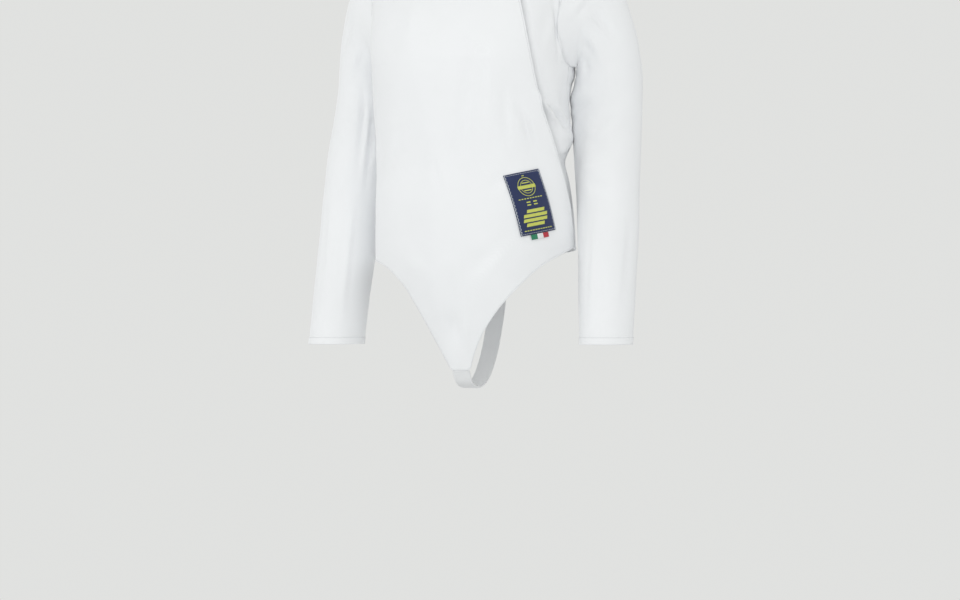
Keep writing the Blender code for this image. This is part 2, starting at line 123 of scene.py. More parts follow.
Arch = namedtuple("Arch", "share right_turn right_z left_turn left_z")
ARCHES = table(Arch, [
    (0.00, -90, HEM_RIGHT, 88, -0.448),
    (0.14, -68, -0.47, 75.5, -0.463),
    (0.3, -51, -0.48, 62.5, -0.48),
    (0.46, -38, -0.507, 51, -0.507),
    (0.63, -30, -0.545, 39, -0.543),
    (0.81, -23, -0.59, 26.5, -0.588),
    (0.93, -17.8, -0.622, 18.5, -0.621),
    (1.00, -14, TONGUE_END, 14, TONGUE_END),
])

Sleeve = namedtuple("Sleeve", "x y z tilt half_out half_front")
SHOULDER = table(Sleeve, [
    (0.16, 0.045, -0.082, 0, 0.086, 0.066),
    (0.18, 0.053, -0.088, 11, 0.083, 0.063),
])
LEFT_ARM = SHOULDER + table(Sleeve, [
    (0.193, 0.061, -0.106, 24, 0.073, 0.06),
    (0.2, 0.068, -0.133, 43, 0.06, 0.056),
    (0.203, 0.073, -0.162, 63, 0.054, 0.055),
    (0.202, 0.074, -0.196, 84, 0.055, 0.054),
    (0.201, 0.07, -0.24, 90, 0.057, 0.05),
    (0.208, 0.054, -0.3, 90, 0.053, 0.05),
    (0.213, 0.042, -0.36, 90, 0.05, 0.048),
    (0.217, 0.032, -0.42, 90, 0.048, 0.046),
    (0.222, 0.012, -0.52, 90, 0.044, 0.043),
    (0.226, -0.005, -0.6, 90, 0.041, 0.041),
])
RIGHT_ARM = SHOULDER + table(Sleeve, [
    (0.194, 0.061, -0.106, 24, 0.072, 0.06),
    (0.202, 0.068, -0.133, 43, 0.058, 0.058),
    (0.207, 0.073, -0.162, 63, 0.049, 0.056),
    (0.208, 0.075, -0.196, 84, 0.047, 0.055),
    (0.209, 0.066, -0.24, 90, 0.05, 0.054),
    (0.213, 0.052, -0.3, 90, 0.051, 0.053),
    (0.218, 0.042, -0.36, 90, 0.049, 0.05),
    (0.222, 0.032, -0.42, 90, 0.047, 0.047),
    (0.226, 0.012, -0.52, 90, 0.045, 0.045),
    (0.228, -0.005, -0.6, 90, 0.044, 0.043),
])

# Soft folds of the body: where, how far they reach, how high (below 0 a trough), and how many
# degrees they lean for each metre of height. The CAD model has those called FORM_FOLDS too.
Fold = namedtuple("Fold", "turn level half_turn half_level rise lean")
BODY_FORM_FOLDS = table(Fold, [
    (96, -0.28, 15, 0.022, 0.011, 0),
    (100, -0.318, 20, 0.018, -0.004, 0),
    (24, -0.19, 7, 0.07, -0.003, 0),
    (-62, -0.33, 12, 0.03, -0.003, 100),
])
BODY_FOLDS = table(Fold, [
    # front, from the chest down
    (45.5, -0.25, 3.2, 0.038, -0.0016, -60),
    (30, -0.205, 3, 0.05, -0.0012, -30),
    (16, -0.25, 5, 0.06, -0.0012, 25),
    (-40, -0.12, 10, 0.05, -0.0016, 120),
    (60, -0.272, 2.2, 0.022, -0.002, -160),
    (55, -0.268, 2.6, 0.026, 0.0014, -160),
    (-9, -0.335, 4, 0.022, -0.0016, -160),
    (40, -0.35, 6, 0.016, -0.0014, 350),
    (-50, -0.3, 5, 0.03, 0.0014, 220),
    (-70, -0.25, 4, 0.045, -0.0016, 120),
    (-1, -0.578, 10, 0.026, -0.005, 0),
    (0, -0.52, 14, 0.03, -0.002, 0),
    (26, -0.47, 8, 0.022, -0.0016, 300),
    (-24, -0.48, 9, 0.02, 0.0012, -260),
    # left side, behind the flap
    (71, -0.112, 1.9, 0.038, -0.004, -100),
    (103, -0.184, 9, 0.011, 0.0014, 0),
    (101, -0.25, 6, 0.01, 0.0012, 0),
    (73, -0.24, 2.8, 0.022, 0.006, -420),
    (86, -0.252, 5, 0.012, -0.0062, -600),
    (76, -0.272, 2.6, 0.022, 0.0022, -150),
    (70, -0.205, 5, 0.026, -0.0016, -260),
    (62, -0.11, 4, 0.04, -0.0014, 60),
    (58, -0.04, 6, 0.014, -0.0012, 500),
    (88, -0.3, 6, 0.008, 0.0028, 500),
    # back
    (150, -0.3, 22, 0.012, 0.004, 200),
    (196, -0.318, 26, 0.01, 0.0034, -240),
    (176, -0.278, 24, 0.01, -0.0028, 180),
    (214, -0.285, 18, 0.011, 0.003, -420),
    (160, -0.345, 18, 0.01, -0.0026, 300),
    (230, -0.33, 20, 0.012, -0.0026, 200),
    (140, -0.19, 6, 0.04, 0.0026, -380),
    (152, -0.17, 6, 0.036, -0.0022, -360),
    (220, -0.185, 6, 0.042, 0.0024, 400),
    (208, -0.16, 5, 0.034, -0.0018, 380),
    (180, -0.12, 5, 0.06, -0.0022, 20),
    (248, -0.29, 6, 0.016, 0.0026, -300),
    (115, -0.35, 5, 0.03, -0.002, 160),
    (190, -0.43, 9, 0.03, 0.0016, 60),
    (165, -0.44, 6, 0.034, -0.0018, -40),
])

# Folds of a sleeve: the turn round it (0 outer, 90 front, 180 inner) and the share of its length
ARM_FORM_FOLDS = table(Fold, [
    (140, 0.5, 50, 0.03, 0.004, 30),
    (150, 0.56, 45, 0.024, -0.004, 30),
])
ARM_FOLDS_LEFT = table(Fold, [
    (158, 0.325, 24, 0.036, 0.0018, 0),
    (160, 0.555, 26, 0.02, 0.0012, 0),
    (172, 0.44, 22, 0.04, 0.0016, 0),
    (58, 0.085, 16, 0.04, -0.0034, -500),
    (74, 0.12, 12, 0.036, 0.0022, -500),
    (96, 0.6, 26, 0.02, 0.003, 260),
    (78, 0.64, 24, 0.018, -0.0026, 240),
    (108, 0.68, 24, 0.02, 0.0022, 300),
    (60, 0.58, 16, 0.03, 0.0016, 340),
    (120, 0.54, 22, 0.018, -0.0026, 300),
    (88, 0.735, 20, 0.022, -0.0016, -260),
    (70, 0.23, 8, 0.08, -0.0036, -160),
    (92, 0.3, 9, 0.07, 0.0024, -120),
    (112, 0.38, 9, 0.05, -0.0022, -80),
    (30, 0.86, 10, 0.06, -0.0012, 60),
    (102, 0.88, 7, 0.05, 0.0012, 90),
    (230, 0.56, 26, 0.018, 0.003, -260),
    (250, 0.6, 26, 0.018, -0.0028, -240),
    (215, 0.65, 20, 0.02, 0.0024, -300),
    (290, 0.24, 9, 0.07, -0.003, 150),
    (262, 0.33, 9, 0.06, 0.0024, 110),
    (20, 0.16, 14, 0.05, 0.001, 0),
])
ARM_FOLDS_RIGHT = table(Fold, [
    (112, 0.56, 5, 0.09, -0.0026, 40),
    (124, 0.6, 4, 0.08, 0.0022, 30),
    (134, 0.64, 5, 0.07, -0.0024, 30),
    (150, 0.64, 22, 0.02, 0.0026, 200),
    (100, 0.52, 18, 0.026, 0.0018, 260),
    (70, 0.61, 22, 0.02, -0.0014, 200),
    (66, 0.25, 9, 0.07, -0.0026, -140),
    (90, 0.33, 9, 0.06, 0.002, -100),
    (60, 0.83, 9, 0.07, -0.001, 50),
    (118, 0.86, 7, 0.07, 0.0014, 30),
    (240, 0.54, 24, 0.018, 0.0028, -220),
    (222, 0.61, 24, 0.018, -0.0026, -260),
    (260, 0.64, 20, 0.02, 0.002, -240),
    (280, 0.26, 9, 0.07, -0.0028, 150),
    (20, 0.17, 14, 0.05, 0.001, 0),
])

FOLD_DEPTH = 1.45        # raises every fold of slack cloth alike
FOLD_PINCH = 0.5         # the narrow trough beside a fold, as a share of its height
GROOVE, WAIST_GROOVE = 0.01, 0.014  # how wide the groove beside the flap's edge is
WAIST_LEVEL, WAIST_REACH = -0.265, 0.06
WAIST_DEEPER = 0.9       # how much deeper the groove is at the waist
FRONT_WIDTH, SIDE_WIDTH, BACK_WIDTH = 0.4, 0.17, 0.42  # for the count of cells only
FRONT_DROP, SIDE_DROP, BACK_DROP = 0.16, 0.033, 0.045  # the same, from the hip to the hem
ARMHOLE_ROWS = 46
SLEEVE_COLUMNS = 84
SLEEVE_LENGTH = 0.6
SLEEVE_BLEND = 2.2       # rings over which the armhole's outline turns into the arm's
ARM_RADIUS = 0.051
INNER_SEAM = 196.0       # the sleeve's own seam, round it
SEAM_STITCH = 0.004      # from a seam to the stitching beside it
CELL = 0.0046            # side of a mesh cell away from the edges
EDGE_HEM = 0.0042        # narrow hem, turned and stitched, of the flap, arches and collar
WIDE_HEM = 0.012         # hem of the cuffs and of the back
STITCH_BACK = 0.0012     # how far a row of stitches is from the hem's inner edge
EDGE_STITCH, WIDE_STITCH = EDGE_HEM - STITCH_BACK, WIDE_HEM - STITCH_BACK
HEM_RISE = 0.0007
SEAM_SWELL = 0.0011      # how far the cloth swells beside a seam
SEAM_REACH = 0.0022
SEAM_FADE = 0.012
ROLL_PLACE, ROLL_REACH = 0.011, 0.01  # a roll of the sleeve's cloth in front of the armpit
ROLL_INWARD, ROLL_FORWARD = 0.0095, 0.007
ROLL_TURN = (70, 185, 35, 30)
# where the left sleeve lies on the body: from, to, and how soon this starts and ends
TOUCH_HEIGHT = (-0.24, -0.184, 0.012, 0.012)
BODY_TOUCH, SLEEVE_TOUCH = (78, 140, 14, 14), (112, 245, 20, 20)
PRESSED_BODY, PRESSED_SLEEVE = 0.0012, 0.0014
STITCH_STEP = 0.003
STITCH_LENGTH = 0.0021
THREAD = 0.00034
EDGE_STEPS = (0.0, 0.0006, 0.0014, 0.0023, 0.0031, 0.0038, 0.0045, 0.0054, 0.0072, 0.0094,
              0.0105, 0.0115, 0.0125, 0.0138, 0.016)   # of the cells next to an edge

WHITE = (0.905, 0.917, 0.934)
THREAD_WHITE = (0.8, 0.815, 0.835)
THREAD_DRIFT, THREAD_DRIFT_SCALE = 9.0, 260.0
RIB_SHARE = 0.6          # of the weave's height, the diagonal rib's part
SLUB_SCALE, SLUB_HEIGHT = (900.0, 40.0), 0.8
# blotches are the cloth's own uneven white; the valley share is painted shade in the weave's valleys
BLOTCH_SCALE, BLOTCH_SHARE, VALLEY_SHADE_SHARE = 9.0, 0.7, 0.15


# ---- the CAD model's form ----

def smooth(x, xs, ys):
    """A curve through the points (xs, ys), without corners."""
    xs, ys = np.asarray(xs, float), np.asarray(ys, float)
    slopes = np.gradient(ys, xs)
    i = np.clip(np.searchsorted(xs, x) - 1, 0, len(xs) - 2)
    step = xs[i + 1] - xs[i]
    t = np.clip((x - xs[i]) / step, 0.0, 1.0)
    return (
        (2 * t**3 - 3 * t**2 + 1) * ys[i] + (t**3 - 2 * t**2 + t) * step * slopes[i]
        + (3 * t**2 - 2 * t**3) * ys[i + 1] + (t**3 - t**2) * step * slopes[i + 1]
    )


def column(rows, name, x, along="level"):
    return smooth(x, [getattr(r, along) for r in rows], [getattr(r, name) for r in rows])


def ease(t):
    t = np.clip(t, 0.0, 1.0)
    return t * t * (3.0 - 2.0 * t)


def window(x, low, high, fade_in, fade_out):
    """1 between two values, less near them and 0 outside them."""
    return ease((x - low) / fade_in) * ease((high - x) / fade_out)


def bell(x):
    return np.exp(-(x**2))


def turned_from(turn, middle):
    """The turn from a middle one, from -180 to 180."""
    return (turn - middle + 180.0) % 360.0 - 180.0


def each_fold(rows, turn, level):
    """A fold's height, and how far across and along it a place is, in its own half sizes."""
    for f in rows:
        across = turned_from(turn, f.turn) - f.lean * (level - f.level)
        yield f.rise, across / f.half_turn, (level - f.level) / f.half_level


def folds(rows, turn, level):
    """The height of all of a table's folds at a place."""
    return sum(rise * bell(u) * bell(v) for rise, u, v in each_fold(rows, turn, level))


def soft_folds(rows, turn, level):
    """Folds of slack cloth: each ridge has a narrower trough on one side of it."""
    return sum(FOLD_DEPTH * rise * (bell(u) - FOLD_PINCH * bell((u - 1.25) / 0.55)) * bell(v)
               for rise, u, v in each_fold(rows, turn, level))


def bare_body(turn, level):
    """The point of the body's form at a turn and a level."""
    a = np.radians(turn)
    side_y = column(BODY, "side_y", level)
    front = np.cos(a) > 0
    depth = np.where(front, side_y - column(BODY, "front_y", level),
                     column(BODY, "back_y", level) - side_y)
    rise = np.where(front, column(BODY, "front_rise", level), column(BODY, "back_rise", level))
    power = column(BODY, "squareness", level)
    width = column(BODY, "half_width", level)
    reach = (np.abs(np.sin(a) / width) ** power + np.abs(np.cos(a) / depth) ** power) ** (-1 / power)
    reach = reach + folds(BODY_FORM_FOLDS, turn, level)
    return np.stack([reach * np.sin(a), side_y - reach * np.cos(a),
                     level + rise * np.cos(a) ** 2], axis=-1)


def one_degree(turn, level):
    """The way along the body's form that one degree of turn covers."""
    return bare_body(turn + 0.5, level) - bare_body(turn - 0.5, level)


def body_facing(turn, level):
    up = bare_body(turn, level + 0.001) - bare_body(turn, level - 0.001)
    n = np.cross(one_degree(turn, level), up)
    return n / np.linalg.norm(n, axis=-1, keepdims=True)


def degrees_of(length, turn, level):
    """The turn that covers a length round the body at a place."""
    return length / np.linalg.norm(one_degree(turn, level), axis=-1)


def on_body(turn, level, out=0.0):
    turn, level = np.broadcast_arrays(np.asarray(turn, float), np.asarray(level, float))
    away = body_facing(turn, level)
    return bare_body(turn, level) + away * np.asarray(out)[..., None], away


def flap_lift(turn, level):
    """How far the front panel stands off the body, which grows to its free edge."""
    edge = column(FLAP_EDGE, "turn", level)
    reach = degrees_of(0.045, edge, level)
    return column(FLAP_EDGE, "lift", level) * ease((turn - edge + reach) / reach)


def armhole_share(level):
    """How wide the armhole is at a level, as a share of its widest."""
    return np.sqrt(np.clip(1.0 - ((level - ARMHOLE_MIDDLE) / ARMHOLE_HALF) ** 2, 0.0, 1.0))


def side_limit(level, seam, opening, side):
    """The turn of a panel's edge at a side (1 left, -1 right), as in the CAD model."""
    below = ease((ARMPIT - level) / (ARMPIT - HIP) * 1.6)
    return side * (90.0 - opening * armhole_share(level)) + below * (seam - side * 90.0)


def arm_form(arm, around, along):
    """A point of a sleeve's form, as on the left, at a turn (0 outer, 90 front) and a ring."""
    steps = np.arange(len(arm))
    value = {name: smooth(along, steps, [getattr(r, name) for r in arm]) for name in Sleeve._fields}
    a, tilt = np.radians(around), np.radians(value["tilt"])
    fold = folds(ARM_FORM_FOLDS, around, along / (len(arm) - 1))
    outward = (value["half_out"] + fold) * np.cos(a)
    forward = (value["half_front"] + fold) * np.sin(a)
    slant = CUFF_SLANT + (ARM_SLANT - CUFF_SLANT) * ease((len(arm) - 1 - along) / 3.0)
    return np.stack([value["x"] + outward * np.sin(tilt), value["y"] - forward,
                     value["z"] + outward * np.cos(tilt) + slant * forward], axis=-1)


def armhole_point(around):
    """The armhole's point at a turn round the sleeve."""
    a = np.radians(around)
    level = ARMHOLE_MIDDLE + ARMHOLE_HALF * np.cos(a)
    turn = 90.0 - np.where(np.sin(a) > 0, ARMHOLE_FRONT, ARMHOLE_BACK) * np.sin(a)
    return bare_body(turn, level)


# ---- cloth as meshes ----

def centred(size, count):
    """Even places over a size, with 0 in the middle."""
    return np.linspace(-0.5, 0.5, count) * size


def spread(length, free_start, free_end):
    """Places along a length, close together near a free or sewn edge: shares from 0 to 1."""
    start = [s for s in EDGE_STEPS if s < length / 3] if free_start else [0.0]
    end = [length - s for s in EDGE_STEPS if s < length / 3][::-1] if free_end else [length]
    count = max(2, round((end[0] - start[-1]) / CELL))
    middle = np.linspace(start[-1], end[0], count + 1)[1:-1]
    return np.concatenate([start, middle, end]) / length


def lengths(grid, axis):
    """How far each point of a grid is along its rows (axis 1) or columns (axis 0)."""
    step = np.linalg.norm(np.diff(grid, axis=axis), axis=-1)
    zero = np.zeros_like(np.take(step, [0], axis=axis))
    return np.concatenate([zero, np.cumsum(step, axis=axis)], axis=axis)


def grid_facing(grid, wrapped=False):
    """Outward directions of a grid whose columns run anticlockwise seen from above."""
    if wrapped:
        across = np.roll(grid, -1, axis=1) - np.roll(grid, 1, axis=1)
    else:
        across = np.gradient(grid, axis=1)
    n = np.cross(across, np.gradient(grid, axis=0))
    return n / np.maximum(np.linalg.norm(n, axis=-1, keepdims=True), 1e-12)


def hem_height(distance, width):
    """How far a turned hem stands out at a distance from its free edge, with its stitched line."""
    ridge = HEM_RISE * ease((width + 0.0006 - distance) / 0.0014)
    rounded = -0.0006 * ease(1.0 - distance / 0.0012)
    stitched = -0.00035 * bell((distance - width + STITCH_BACK) / 0.0008)
    return ridge + rounded + stitched


def seam_height(distance):
    """How far cloth swells beside a seam, which stays down between its two panels."""
    return SEAM_SWELL * (1.0 - bell(distance / SEAM_REACH)) * bell(distance / SEAM_FADE)


def ripple(grid, seed, size=0.055, height=0.0009, fine=0.00022):
    """Uneven slackness of the cloth: two smooth noises over the points of a grid."""
    flat = grid.reshape(-1, 3)
    shift = Vector((seed, seed * 0.7, -seed))
    wide = [noise.noise(Vector(p) / size + shift) for p in flat]
    close = [noise.noise(Vector(p) / (size * 0.33) - shift) for p in flat]
    return (height * np.array(wide) + fine * np.array(close)).reshape(grid.shape[:2])


def closed(grid):
    """A grid round a tube, with its first column once more at its end."""
    return np.concatenate([grid, grid[:, :1]], axis=1)


def quads(numbers):
    """The four-cornered faces of a grid of numbered points."""
    corners = (numbers[:-1, :-1], numbers[:-1, 1:], numbers[1:, 1:], numbers[1:, :-1])
    return np.stack([c.ravel() for c in corners], axis=-1).tolist()


def shell(name, outer, away, thickness, materials, wrapped=False, uv=None, stripes=None):
    """A thin closed shell from a grid of outer points, with UVs in metres along the cloth.

    Stripes give each column's place in the list of materials.
    """
    inner = outer - away * thickness
    points = np.concatenate([outer.reshape(-1, 3), inner.reshape(-1, 3)])
    count = len(points) // 2
    if uv is None:
        uv = np.stack([lengths(outer, 1), lengths(outer, 0)], axis=-1)
    numbers = np.arange(count).reshape(outer.shape[:2])
    if wrapped:
        numbers = closed(numbers)
    edges = [numbers[0], numbers[-1]]
    if not wrapped:
        edges += [numbers[:, 0], numbers[:, -1]]
    skin = quads(numbers)
    faces = skin + [[k + count for k in face[::-1]] for face in skin]
    for edge in edges:
        faces += quads(np.stack([edge, edge + count]))
    mesh = bpy.data.meshes.new(name)
    mesh.from_pydata(points.tolist(), [], faces)
    face_uv = uv.reshape(-1, 2)[np.array(faces).ravel() % count]
    mesh.uv_layers.new(name="cloth").data.foreach_set("uv", face_uv.astype(np.float32).ravel())
    for material in materials:
        mesh.materials.append(material)
    if stripes is not None:
        kinds = np.zeros(len(faces), dtype=np.int32)
        kinds[:2 * len(skin)] = np.tile(stripes, 2 * len(skin) // len(stripes))
        mesh.polygons.foreach_set("material_index", kinds)
    mesh.shade_smooth()
    mesh.validate()
    mesh.update()
    return in_scene(name, mesh, fix_sides=True)


def in_scene(name, data, fix_sides=False):
    """A new object in the scene, with all its faces turned outward if asked."""
    thing = bpy.data.objects.new(name, data)
    bpy.context.scene.collection.objects.link(thing)
    if fix_sides:
        mesh = bmesh.new()
        mesh.from_mesh(data)
        bmesh.ops.recalc_face_normals(mesh, faces=mesh.faces)
        mesh.to_mesh(data)
        mesh.free()
    return thing


def point_at(where, run, line):
    """The points of a line at lengths along it."""
    return np.stack([np.interp(where, run, line[:, k]) for k in range(3)], axis=-1)


def of_bmesh(name, mesh, material):
    data = bpy.data.meshes.new(name)
    mesh.to_mesh(data)
    mesh.free()
    data.materials.append(material)
    return in_scene(name, data)


def stitches(name, lines):
    """Rows of short threads. A line is its points and the cloth's outward directions there."""
    points, faces = [], []
    for line, away in lines:
        run = lengths(line[None], 1)[0]
        for start in np.arange(STITCH_STEP / 2, run[-1] - STITCH_LENGTH, STITCH_STEP):
            place = point_at([start + STITCH_LENGTH * k for k in (0.0, 0.25, 0.75, 1.0)], run, line)
            up = point_at(start, run, away)
            forward = place[-1] - place[0]
            side = np.cross(forward, up)
            side /= np.linalg.norm(side)
            heights = (-0.0002, 0.0003, 0.0003, -0.0002)
            first = len(points)
            for p, h in zip(place, heights):
                for s, lower in ((-1, 0.0), (-0.5, 1.0), (0.5, 1.0), (1, 0.0)):
                    points.append(p + side * s * THREAD + up * (h + lower * THREAD * 0.8))
            numbers = first + np.arange(16).reshape(4, 4)
            faces += quads(closed(numbers)) + [numbers[0, ::-1].tolist(), numbers[-1].tolist()]
    mesh = bpy.data.meshes.new(name)
    mesh.from_pydata([tuple(p) for p in points], [], faces)
    mesh.materials.append(THREAD_MATERIAL)
    mesh.shade_smooth()
    return in_scene(name, mesh, fix_sides=True)


# ---- materials ----

def new_material(name, colour, roughness):
    material = bpy.data.materials.new(name)
    material.use_nodes = True
    shader = material.node_tree.nodes["Principled BSDF"]
    shader.inputs["Base Color"].default_value = (*colour, 1.0)
    shader.inputs["Roughness"].default_value = roughness
    return material, material.node_tree, shader


def node(tree, kind, **settings):
    made = tree.nodes.new(kind)
    for key, value in settings.items():
        if key in made.inputs:
            made.inputs[key].default_value = value
        else:
            setattr(made, key, value)
    return made


def math_node(tree, operation, a, b=None):
    made = tree.nodes.new("ShaderNodeMath")
    made.operation = operation
    for k, value in enumerate((a, b)):
        if value is None:
            continue
        if isinstance(value, (int, float)):
            made.inputs[k].default_value = value
        else:
            tree.links.new(value, made.inputs[k])
    return made.outputs[0]


def cloud(tree, vector, **settings):
    """A smooth noise over places."""
    made = node(tree, "ShaderNodeTexNoise", **settings)
    tree.links.new(vector, made.inputs["Vector"])
    return made.outputs[0]


def embossed(tree, shader, height, strength, distance):
    made = node(tree, "ShaderNodeBump", Strength=strength, Distance=distance)
    tree.links.new(height, made.inputs["Height"])
    tree.links.new(made.outputs[0], shader.inputs["Normal"])


def woven(name, colour, roughness, thread, bump=0.0001, slant=1.0, mottle_and_valley_shade=0.03, sheen=0.25):
    """Twill: threads across and along the cloth's own UVs, with a diagonal rib."""
    material, tree, shader = new_material(name, colour, roughness)
    shader.inputs["Sheen Weight"].default_value = sheen
    shader.inputs["Sheen Roughness"].default_value = 0.5
    shader.inputs["Specular IOR Level"].default_value = 0.25
    link = tree.links.new

    def times(a, b):
        return math_node(tree, "MULTIPLY", a, b)

    def plus(a, b):
        return math_node(tree, "ADD", a, b)

    def sine(a):
        return math_node(tree, "SINE", a)

    uv = node(tree, "ShaderNodeUVMap", uv_map="cloth")
    split = node(tree, "ShaderNodeSeparateXYZ")
    link(uv.outputs[0], split.inputs[0])
    turn = 2 * math.pi / thread
    # the threads wander, so that they don't beat against the picture's grid
    wander = times(cloud(tree, uv.outputs[0], Scale=THREAD_DRIFT_SCALE, Detail=2), THREAD_DRIFT)
    across = plus(times(split.outputs[0], turn), wander)
    along = plus(times(split.outputs[1], turn), wander)
    rib = sine(times(plus(across, times(along, slant)), 0.5))
    cross = times(sine(across), sine(along))
    weave = plus(times(rib, RIB_SHARE), times(cross, 1.0 - RIB_SHARE))
    # slubs: some threads are thicker than others
    stretch = node(tree, "ShaderNodeCombineXYZ")
    for axis, scale in enumerate(SLUB_SCALE):
        link(times(split.outputs[axis], scale), stretch.inputs[axis])
    slub = cloud(tree, stretch.outputs[0], Scale=1, Detail=2)
    embossed(tree, shader, plus(weave, times(slub, SLUB_HEIGHT)), 0.5, bump)
    # the cloth's white is a little uneven, and painted shade darkens the valleys of the weave
    place = node(tree, "ShaderNodeTexCoord")
    blotch = cloud(tree, place.outputs["Object"], Scale=BLOTCH_SCALE, Detail=3, Roughness=0.55)
    amount = plus(times(blotch, BLOTCH_SHARE), times(plus(weave, 1.0), VALLEY_SHADE_SHARE))
    mix = node(tree, "ShaderNodeMix", data_type="RGBA")
    # the darker and lighter ends of the mix: the cloth's random tone plus the painted shade of the
    # weave's valleys
    dark = tuple(c * (1.0 - 2 * mottle_and_valley_shade) for c in colour)
    light = tuple(min(1.0, c * (1.0 + mottle_and_valley_shade)) for c in colour)
    colours = [s for s in mix.inputs if s.type == "RGBA"]
    colours[0].default_value, colours[1].default_value = (*dark, 1.0), (*light, 1.0)
    link(amount, mix.inputs[0])
    link([s for s in mix.outputs if s.type == "RGBA"][0], shader.inputs["Base Color"])
    return material


def thread_material(name, colour, roughness=0.6):
    """Twisted thread: a fine slanted ripple in its own bump."""
    material, tree, shader = new_material(name, colour, roughness)
    link = tree.links.new
    place = node(tree, "ShaderNodeTexCoord")
    twist = node(tree, "ShaderNodeTexWave", Scale=1400.0, Distortion=1.0, Detail=1.0)
    twist.bands_direction = "DIAGONAL"
    link(place.outputs["Object"], twist.inputs["Vector"])
    embossed(tree, shader, twist.outputs["Fac"], 0.4, 0.0001)
    grain = cloud(tree, place.outputs["Object"], Scale=300, Detail=2)
    ramp = node(tree, "ShaderNodeValToRGB")
    ramp.color_ramp.elements[0].color = (*[c * 0.82 for c in colour], 1.0)
    ramp.color_ramp.elements[1].color = (*[min(1.0, c * 1.08) for c in colour], 1.0)
    link(grain, ramp.inputs["Fac"])
    link(ramp.outputs["Color"], shader.inputs["Base Color"])
    return material


COTTON = woven("cotton_twill", WHITE, 0.86, 0.0008)
ELASTIC = woven("elastic_webbing", (0.83, 0.84, 0.85), 0.75, 0.001, bump=0.00003, slant=0.0)
TAPE = woven("zip_tape_weave", (0.81, 0.82, 0.84), 0.75, 0.001)
NAVY = woven("label_damask", (0.022, 0.034, 0.105), 0.62, 0.0006, mottle_and_valley_shade=0.12, sheen=0.35)
THREAD_MATERIAL = thread_material("white_thread", THREAD_WHITE)
LIME = thread_material("lime_thread", (0.6, 0.64, 0.12), 0.5)
PALE = thread_material("pale_thread", (0.62, 0.66, 0.7), 0.5)
GREEN = woven("ribbon_green", (0.02, 0.22, 0.11), 0.45, 0.0005, mottle_and_valley_shade=0.05, sheen=0.4)
RED = woven("ribbon_red", (0.48, 0.03, 0.05), 0.45, 0.0005, mottle_and_valley_shade=0.05, sheen=0.4)
SATIN = woven("ribbon_white", (0.8, 0.82, 0.82), 0.45, 0.0005, mottle_and_valley_shade=0.02, sheen=0.4)


# ---- the body's panels ----

def pressed_body(turn, level):
    """Where the left sleeve lies on the body, from 0 to 1."""
    return window(turn, *BODY_TOUCH) * window(level, *TOUCH_HEIGHT)


def pressed_sleeve(around, height):
    """The same for the sleeve's inner side."""
    return window(around, *SLEEVE_TOUCH) * window(height, *TOUCH_HEIGHT)


def pressed_flat(extra, share, sunk):
    """Folds with those that rise taken out where two pieces press on each other."""
    return extra - share * (np.maximum(extra, 0.0) + sunk)


def settle(turn, level, out, seed, calm=1.0):
    """Body points with the fine folds and slackness added, and their outward directions."""
    base, away = on_body(turn, level, out)
    extra = soft_folds(BODY_FOLDS, turn, level) + ripple(base, seed)
    extra = pressed_flat(extra, pressed_body(turn, level), PRESSED_BODY) * calm
    return base + away * extra[..., None], away


def panel_levels():
    """A panel's rows from the hip to the neck seam, closest at both ends of the armhole."""
    steps = np.linspace(0.0, math.pi, ARMHOLE_ROWS + 1)
    armhole = ARMHOLE_MIDDLE - ARMHOLE_HALF * np.cos(steps)
    low = HIP + (ARMPIT - HIP) * spread(ARMPIT - HIP, False, False)
    high = TIP + (NECK - TIP) * spread(NECK - TIP, False, True)
    return np.concatenate([low[:-1], armhole[:-1], high])


def across_panel(start, end, plain_start, plain_end, share):
    """Rows of turns: near each side they follow its edge round the armhole, in the middle not."""
    start, end, plain_start, plain_end = (x[:, None] for x in (start, end, plain_start, plain_end))
    plain = plain_start + (plain_end - plain_start) * share
    from_start = (start - plain_start) * (1.0 - ease(share / 0.5))
    from_end = (end - plain_end) * (1.0 - ease((1.0 - share) / 0.5))
    return plain + from_start + from_end


def arch_edge(count):
    """Places along the front's lower edge: down one arch, across the tongue's end, up the other."""
    tongue = 9
    share = np.linspace(0.0, 1.0, (count - tongue) // 2 + 1)
    right, left = (np.stack([column(ARCHES, f"{side}_{k}", share, "share") for k in ("turn", "z")])
                   for side in ("right", "left"))
    mix = np.linspace(0.0, 1.0, tongue + 1)[1:-1]
    corner = 0.004 * (1 - ease(np.minimum(mix, 1 - mix) * 5))
    middle = right[:, -1:] * (1 - mix) + left[:, -1:] * mix
    middle[1] += 0.25 * corner
    return np.concatenate([right, middle, left[:, ::-1]], axis=1)


def down_to_hem(rows, levels, hem_turn, hem_level, length):
    """A panel's turns and levels: its rows above the hip, and rows from its hem up to them."""
    drop = (1.0 - spread(length, True, False))[:-1, None]
    turn = np.concatenate([rows[0] + (hem_turn - rows[0]) * drop, rows])
    level = np.concatenate([HIP + (hem_level - HIP) * drop,
                            np.repeat(levels[:, None], len(rows[0]), axis=1)])
    return turn, level


def four_distances(outer):
    """How far each point is from a grid's start, end, lower edge and upper edge."""
    from_start, from_low = lengths(outer, 1), lengths(outer, 0)
    return from_start, from_start[:, -1:] - from_start, from_low, from_low[-1:] - from_low


def sewn(name, outer, away, height, *rows, cloth=CLOTH):
    """A panel raised by a height, and its stitches. A row of them is how to find its line, each
    point's distance from an edge, and the distance at which the line runs."""
    outer = outer + away * height[..., None]
    lines = [find(outer, away, distance, at) for find, distance, at in rows]
    return (shell(f"{name}_cloth", outer, away, cloth, [COTTON]),
            stitches(f"{name}_stitches", lines))


